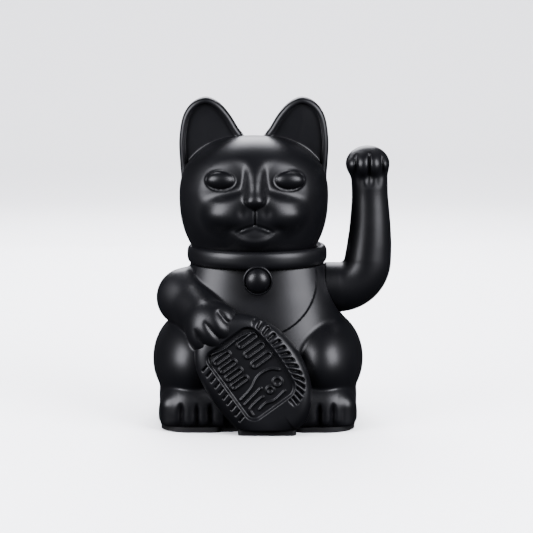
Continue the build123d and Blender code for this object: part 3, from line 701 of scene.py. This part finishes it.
def bell():
    """A dome with a thin raised rim round it."""
    middle = (BELL_LOW + BELL_HIGH) / 2
    r = (BELL_HIGH[0] - BELL_LOW[0]) / 2
    back = -(BELL_HIGH[1] - BELL_LOW[1]) / 2
    front = -back
    rim = front - 3.6
    profile = [(0.01, back), (3.4, back), (r - 1.4, rim - 3.0), (r - 0.3, rim - 2.4), (r, rim - 1.4)]
    profile += [(r, rim - 0.5), (r - 0.25, rim), (r - 0.7, rim + 0.1), (r - 1.0, rim - 0.2)]
    profile.append((r - 1.15, rim - 0.7))
    dome = r - 1.25
    for i in range(17):
        a = math.pi / 2 * i / 16
        profile.append((max(dome * math.cos(a), 0.01), rim - 0.7 + (front - rim + 0.7) * math.sin(a)))
    return turned_disc("bell_dome", middle, profile)


# ---------------------------------------------------------------- materials
def material(name, colour, roughness, metallic=0.0, **sockets):
    """A Principled material; sockets are further constant inputs by name."""
    mat = bpy.data.materials.new(name)
    mat.use_nodes = True
    shader = mat.node_tree.nodes["Principled BSDF"]
    shader.inputs["Base Color"].default_value = (*colour, 1)
    shader.inputs["Roughness"].default_value = roughness
    shader.inputs["Metallic"].default_value = metallic
    for socket, value in sockets.items():
        shader.inputs[socket.replace("_", " ")].default_value = value
    return mat


def add(mat, kind, **settings):
    node = mat.node_tree.nodes.new(kind)
    for key, value in settings.items():
        setattr(node, key, value)
    return node


def link(mat, source, target):
    mat.node_tree.links.new(source, target)


def noise(mat, scale, detail=2.0, stretch=(1, 1, 1)):
    """Noise in the object's own coordinates, cells per metre."""
    where = add(mat, "ShaderNodeTexCoord")
    mapping = add(mat, "ShaderNodeMapping")
    mapping.inputs["Scale"].default_value = stretch
    link(mat, where.outputs["Object"], mapping.inputs["Vector"])
    texture = add(mat, "ShaderNodeTexNoise")
    texture.inputs["Scale"].default_value = scale
    texture.inputs["Detail"].default_value = detail
    link(mat, mapping.outputs["Vector"], texture.inputs["Vector"])
    return texture.outputs["Fac"]


def spread(mat, source, low, high):
    """Maps the middle of a noise to a range."""
    node = add(mat, "ShaderNodeMapRange")
    node.inputs["From Min"].default_value = 0.3
    node.inputs["From Max"].default_value = 0.7
    node.inputs["To Min"].default_value = low
    node.inputs["To Max"].default_value = high
    link(mat, source, node.inputs["Value"])
    return node.outputs["Result"]


def grain(mat, source, strength, depth, under=None):
    """Bump from a texture, in metres, on top of another bump."""
    node = add(mat, "ShaderNodeBump")
    node.inputs["Strength"].default_value = strength
    node.inputs["Distance"].default_value = depth
    link(mat, source, node.inputs["Height"])
    if under is not None:
        link(mat, under, node.inputs["Normal"])
    return node.outputs["Normal"]


def tint(mat, source, low, high):
    """A colour that runs from low to high with a texture."""
    node = add(mat, "ShaderNodeValToRGB")
    node.color_ramp.elements[0].position = 0.35
    node.color_ramp.elements[1].position = 0.65
    node.color_ramp.elements[0].color = (*low, 1)
    node.color_ramp.elements[1].color = (*high, 1)
    link(mat, source, node.inputs["Fac"])
    return node.outputs["Color"]


def shader_of(mat):
    return mat.node_tree.nodes["Principled BSDF"]


def shaded(colour, factor):
    return tuple(c * factor for c in colour)


def moulded(name, colour, roughness, grain_scale=2600, grain_depth=0.00003, sheen=0.04, gloss=0.5):
    """Injection-moulded plastic: a fine even grain, faint cloudy gloss, and slight handling marks."""
    mat = material(name, colour, roughness, Specular_IOR_Level=gloss)
    shader = shader_of(mat)
    cloud = noise(mat, 38, 3)
    link(mat, tint(mat, cloud, shaded(colour, 0.85), shaded(colour, 1.15)), shader.inputs["Base Color"])
    link(mat, spread(mat, cloud, roughness - sheen, roughness + sheen), shader.inputs["Roughness"])
    flow = grain(mat, noise(mat, 110, 2), 0.12, 0.0002)
    link(mat, grain(mat, noise(mat, grain_scale, 2), 0.35, grain_depth, flow), shader.inputs["Normal"])
    return mat


def metal(name, colour, roughness, stretch=(1, 1, 1), scale=900):
    """Bare or plated steel with fine lines along its length."""
    mat = material(name, colour, roughness, metallic=1.0)
    shader = shader_of(mat)
    lines = noise(mat, scale, 4, stretch)
    link(mat, tint(mat, lines, shaded(colour, 0.85), shaded(colour, 1.1)), shader.inputs["Base Color"])
    link(mat, spread(mat, lines, roughness - 0.08, roughness + 0.12), shader.inputs["Roughness"])
    link(mat, grain(mat, lines, 0.25, 0.00004), shader.inputs["Normal"])
    return mat


def wound(name, colour):
    """Enamelled copper wire in close turns about Z, with painted shade darkening the grooves between the
    turns.
    """
    mat = material(name, colour, 0.28, metallic=0.9)
    shader = shader_of(mat)
    where = add(mat, "ShaderNodeTexCoord")
    wave = add(mat, "ShaderNodeTexWave", bands_direction="Z", wave_profile="SIN")
    wave.inputs["Scale"].default_value = 1150
    wave.inputs["Distortion"].default_value = 0.35
    link(mat, where.outputs["Object"], wave.inputs["Vector"])
    # painted shade: the wire's colour falls to 0.45 of itself in the grooves between turns, where the bump is
    # lowest
    link(mat, tint(mat, wave.outputs["Fac"], shaded(colour, 0.45), colour), shader.inputs["Base Color"])
    link(mat, grain(mat, wave.outputs["Fac"], 0.8, 0.0001), shader.inputs["Normal"])
    return mat


def circuit(name, colour):
    """Solder mask with tracks under it."""
    mat = material(name, colour, 0.3, Coat_Weight=0.4)
    shader = shader_of(mat)
    where = add(mat, "ShaderNodeTexCoord")
    tracks = add(mat, "ShaderNodeTexBrick", offset=0.37, squash=1.6, squash_frequency=3)
    tracks.inputs["Scale"].default_value = 160
    tracks.inputs["Mortar Size"].default_value = 0.06
    link(mat, where.outputs["Object"], tracks.inputs["Vector"])
    link(mat, tint(mat, tracks.outputs["Fac"], colour, shaded(colour, 1.9)), shader.inputs["Base Color"])
    link(mat, grain(mat, tracks.outputs["Fac"], 0.5, 0.00006), shader.inputs["Normal"])
    return mat


def wrapped_cell(name):
    """Printed film in two plain bands along the cell, no lettering."""
    mat = material(name, (0.05, 0.055, 0.06), 0.3, Coat_Weight=0.5)
    shader = shader_of(mat)
    where = add(mat, "ShaderNodeTexCoord")
    axes = add(mat, "ShaderNodeSeparateXYZ")
    bands = add(mat, "ShaderNodeValToRGB")
    bands.color_ramp.interpolation = "CONSTANT"
    bands.color_ramp.elements[0].color = (0.04, 0.045, 0.05, 1)
    bands.color_ramp.elements[1].position = 0.62
    bands.color_ramp.elements[1].color = (0.55, 0.3, 0.08, 1)
    reach = add(mat, "ShaderNodeMapRange")
    reach.inputs["From Min"].default_value = -0.025
    reach.inputs["From Max"].default_value = 0.025
    link(mat, where.outputs["Object"], axes.inputs["Vector"])
    link(mat, axes.outputs["X"], reach.inputs["Value"])
    link(mat, reach.outputs["Result"], bands.inputs["Fac"])
    link(mat, bands.outputs["Color"], shader.inputs["Base Color"])
    link(mat, grain(mat, noise(mat, 500, 3), 0.15, 0.00005), shader.inputs["Normal"])
    return mat


BLACK = (0.003, 0.0031, 0.004)
SATIN = 0.38  # roughness of the shells
GLOSS = 0.31  # specular level of the black plastics


def node_materials():
    """A finish for every CAD node, by name."""
    satin = moulded("satin_black", BLACK, SATIN, gloss=GLOSS)
    textured = moulded("textured_black", (0.006, 0.006, 0.0066), 0.55, 1500, 0.00008, gloss=GLOSS)
    natural = moulded("natural_white", (0.74, 0.72, 0.66), 0.42)
    screw = metal("zinc_screw", (0.56, 0.56, 0.58), 0.32)
    axle = metal("ground_axle", (0.62, 0.62, 0.64), 0.22, (0.04, 1, 1))
    contact = metal("nickel_contact", (0.7, 0.68, 0.63), 0.25)
    copper = (0.62, 0.24, 0.09)
    return {
        "body_front_shell": satin, "body_rear_shell": satin,
        "head_front_shell": satin, "head_rear_shell": satin,
        "arm_front_shell": satin, "arm_rear_shell": satin,
        "collar": satin, "bell": satin, "coin": satin,
        "base_plate": textured, "battery_door": textured,
        "base_screws": screw, "frame_screws": screw, "board_screws": screw,
        "arm_axle": axle, "retaining_ring": axle,
        "pendulum_weight": metal("tumbled_steel", (0.46, 0.46, 0.47), 0.45, scale=300),
        "pendulum_magnet": metal("nickel_magnet", (0.72, 0.72, 0.74), 0.12),
        "battery_spring": contact, "spring_plate": contact, "battery_contact": contact,
        "mechanism_frame": natural, "coil_bobbin": natural,
        "arm_root_cap": natural, "pendulum_lever": natural,
        "drive_coil": wound("copper_winding", copper), "coil_leads": wound("copper_lead", copper),
        "circuit_board": circuit("solder_mask", (0.02, 0.15, 0.05)),
        "transistor": moulded("moulded_epoxy", (0.02, 0.02, 0.02), 0.5),
        "capacitor": moulded("capacitor_sleeve", (0.02, 0.035, 0.14), 0.3),
        "resistors": moulded("resistor_lacquer", (0.6, 0.42, 0.24), 0.35),
        "battery_cell": wrapped_cell("cell_film"),
        "lead_black": moulded("black_vinyl", (0.015, 0.015, 0.015), 0.45),
        "lead_red": moulded("red_vinyl", (0.5, 0.02, 0.02), 0.4),
    }


# ---------------------------------------------------------------- pieces
FINISH = node_materials()


def stand_for(piece, node, body):
    """The piece takes the place, the finish and the motion of a CAD node."""
    piece.data.materials.append(FINISH[node])
    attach(piece, body)
    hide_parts(node)


def margin(low, high, front_seam=None, rear_seam=None, space=1.6):
    """A CAD box with room round it, or cut at a seam."""
    low, high = np.array(low) - space, np.array(high) + space
    if front_seam is not None:
        high[1] = front_seam + 1.0
    if rear_seam is not None:
        low[1] = rear_seam - 1.0
    return low, high


def build_shells():
    shells = [
        ("body_front", body_half(-1, BODY_SEAM), "body_front_shell", "body", 0.57,
         {"front_seam": BODY_SEAM, "space": 4.0}),
        ("body_rear", body_half(1, BODY_SEAM), "body_rear_shell", "body", 0.7, {"rear_seam": BODY_SEAM}),
        ("head_front", head_front, "head_front_shell", "body", 0.46, {"front_seam": HEAD_SEAM}),
        ("head_rear", head_rear, "head_rear_shell", "body", 0.5, {"rear_seam": HEAD_SEAM}),
        ("arm_front", arm_half(-1), "arm_front_shell", "arm", 0.4, {"front_seam": 0}),
        ("arm_rear", arm_half(1), "arm_rear_shell", "arm", 0.5, {"rear_seam": 0}),
    ]
    for name, field, node, body, step, room in shells:
        area = margin(*box_mm(node), **room)
        stand_for(sculpt(name, field, *area, step), node, body)
    reach = (COIN_R[0] + 1, COIN_R[1] + 1)
    low, high = (-reach[0], -reach[1], -COIN_DEPTH - 1), (*reach, 1.0)
    stand_for(sculpt("coin_relief", coin_form, low, high, 0.3, COIN_PLACE), "coin", "body")


build_shells()
stand_for(collar(), "collar", "body")
stand_for(bell(), "bell", "body")
for name, node in frame["nodes"].items():
    node.data.materials.clear()
    node.data.materials.append(FINISH[name])


# ---------------------------------------------------------------- stage, lights and camera
FLOOR_FRONT, FLOOR_BACK, FLOOR_HALF = -1.6, 0.9, 2.5
CURVE_R, BACKDROP_TOP = 0.6, 2.4
COOL = (0.93, 0.93, 1.0)
CAMERA_TARGET = (0.00396, 0, 0.0712)
CAMERA_ELEVATION, CAMERA_DISTANCE = math.radians(8.0), 1.0
PICTURE_WIDTH = 0.2484  # what the picture takes in at the target
SENSOR = 36.0


def sweep():
    """A pale floor that curves up into a backdrop."""
    profile = [(FLOOR_FRONT, 0.0), (FLOOR_BACK, 0.0)]
    for i in range(1, 17):
        a = math.pi / 2 * i / 16
        profile.append((FLOOR_BACK + CURVE_R * math.sin(a), CURVE_R - CURVE_R * math.cos(a)))
    profile.append((FLOOR_BACK + CURVE_R, BACKDROP_TOP))
    verts = [(x, y, z) for y, z in profile for x in (-FLOOR_HALF, FLOOR_HALF)]
    faces = [(2 * i, 2 * i + 1, 2 * i + 3, 2 * i + 2) for i in range(len(profile) - 1)]
    mesh = bpy.data.meshes.new("sweep")
    mesh.from_pydata(verts, [], faces)
    floor = add_piece("sweep", mesh)
    paper = material("pale_paper", (0.86, 0.86, 0.86), 0.8)
    link(paper, grain(paper, noise(paper, 300, 2), 0.05, 0.0003), shader_of(paper).inputs["Normal"])
    mesh.materials.append(paper)
    floor.visible_glossy = False  # flagged off, so the black plastic doesn't mirror the pale floor
    floor.visible_diffuse = False
    paper_only = bpy.data.collections.new("paper")
    paper_only.objects.link(floor)


def softbox(name, azimuth, elevation, distance, size, power, target=(0, 0, 0.07)):
    """A rectangular light that faces the target; azimuth 0 is in front, positive to the right."""
    a, e = math.radians(azimuth), math.radians(elevation)
    back = Vector((math.sin(a) * math.cos(e), -math.cos(a) * math.cos(e), math.sin(e)))
    light = bpy.data.lights.new(name, "AREA")
    light.shape = "RECTANGLE"
    light.size, light.size_y = size
    light.energy = power
    light.color = COOL
    lamp = bpy.data.objects.new(name, light)
    lamp.location = Vector(target) + back * distance
    lamp.rotation_euler = back.to_track_quat("Z", "Y").to_euler()
    bpy.context.scene.collection.objects.link(lamp)
    return lamp


def camera():
    """In front of the figurine, aimed at its middle, looking slightly down."""
    back = Vector((0, -math.cos(CAMERA_ELEVATION), math.sin(CAMERA_ELEVATION)))
    data = bpy.data.cameras.new("camera")
    data.sensor_width = SENSOR
    data.lens = SENSOR * CAMERA_DISTANCE / PICTURE_WIDTH
    view = bpy.data.objects.new("camera", data)
    view.location = Vector(CAMERA_TARGET) + back * CAMERA_DISTANCE
    view.rotation_mode = "QUATERNION"
    view.rotation_quaternion = back.to_track_quat("Z", "Y")
    bpy.context.scene.collection.objects.link(view)
    bpy.context.scene.camera = view


def surroundings():
    """A faint cool ambient light."""
    world = bpy.data.worlds.new("studio")
    world.use_nodes = True
    world.node_tree.nodes["Background"].inputs["Color"].default_value = (0.9, 0.94, 1.0, 1)
    world.node_tree.nodes["Background"].inputs["Strength"].default_value = 0.03
    bpy.context.scene.world = world


sweep()
softbox("left_box", -56, 24, 0.68, (0.42, 0.5), 11)
softbox("right_box", 50, 26, 0.68, (0.42, 0.5), 11)
softbox("back_box", 184, 38, 0.8, (0.5, 0.5), 9)
paper_light = softbox("paper_light", 0, 88, 1.5, (2.6, 2.2), 130, target=(0, 0.5, 0))
paper_light.light_linking.receiver_collection = bpy.data.collections["paper"]
surroundings()
camera()
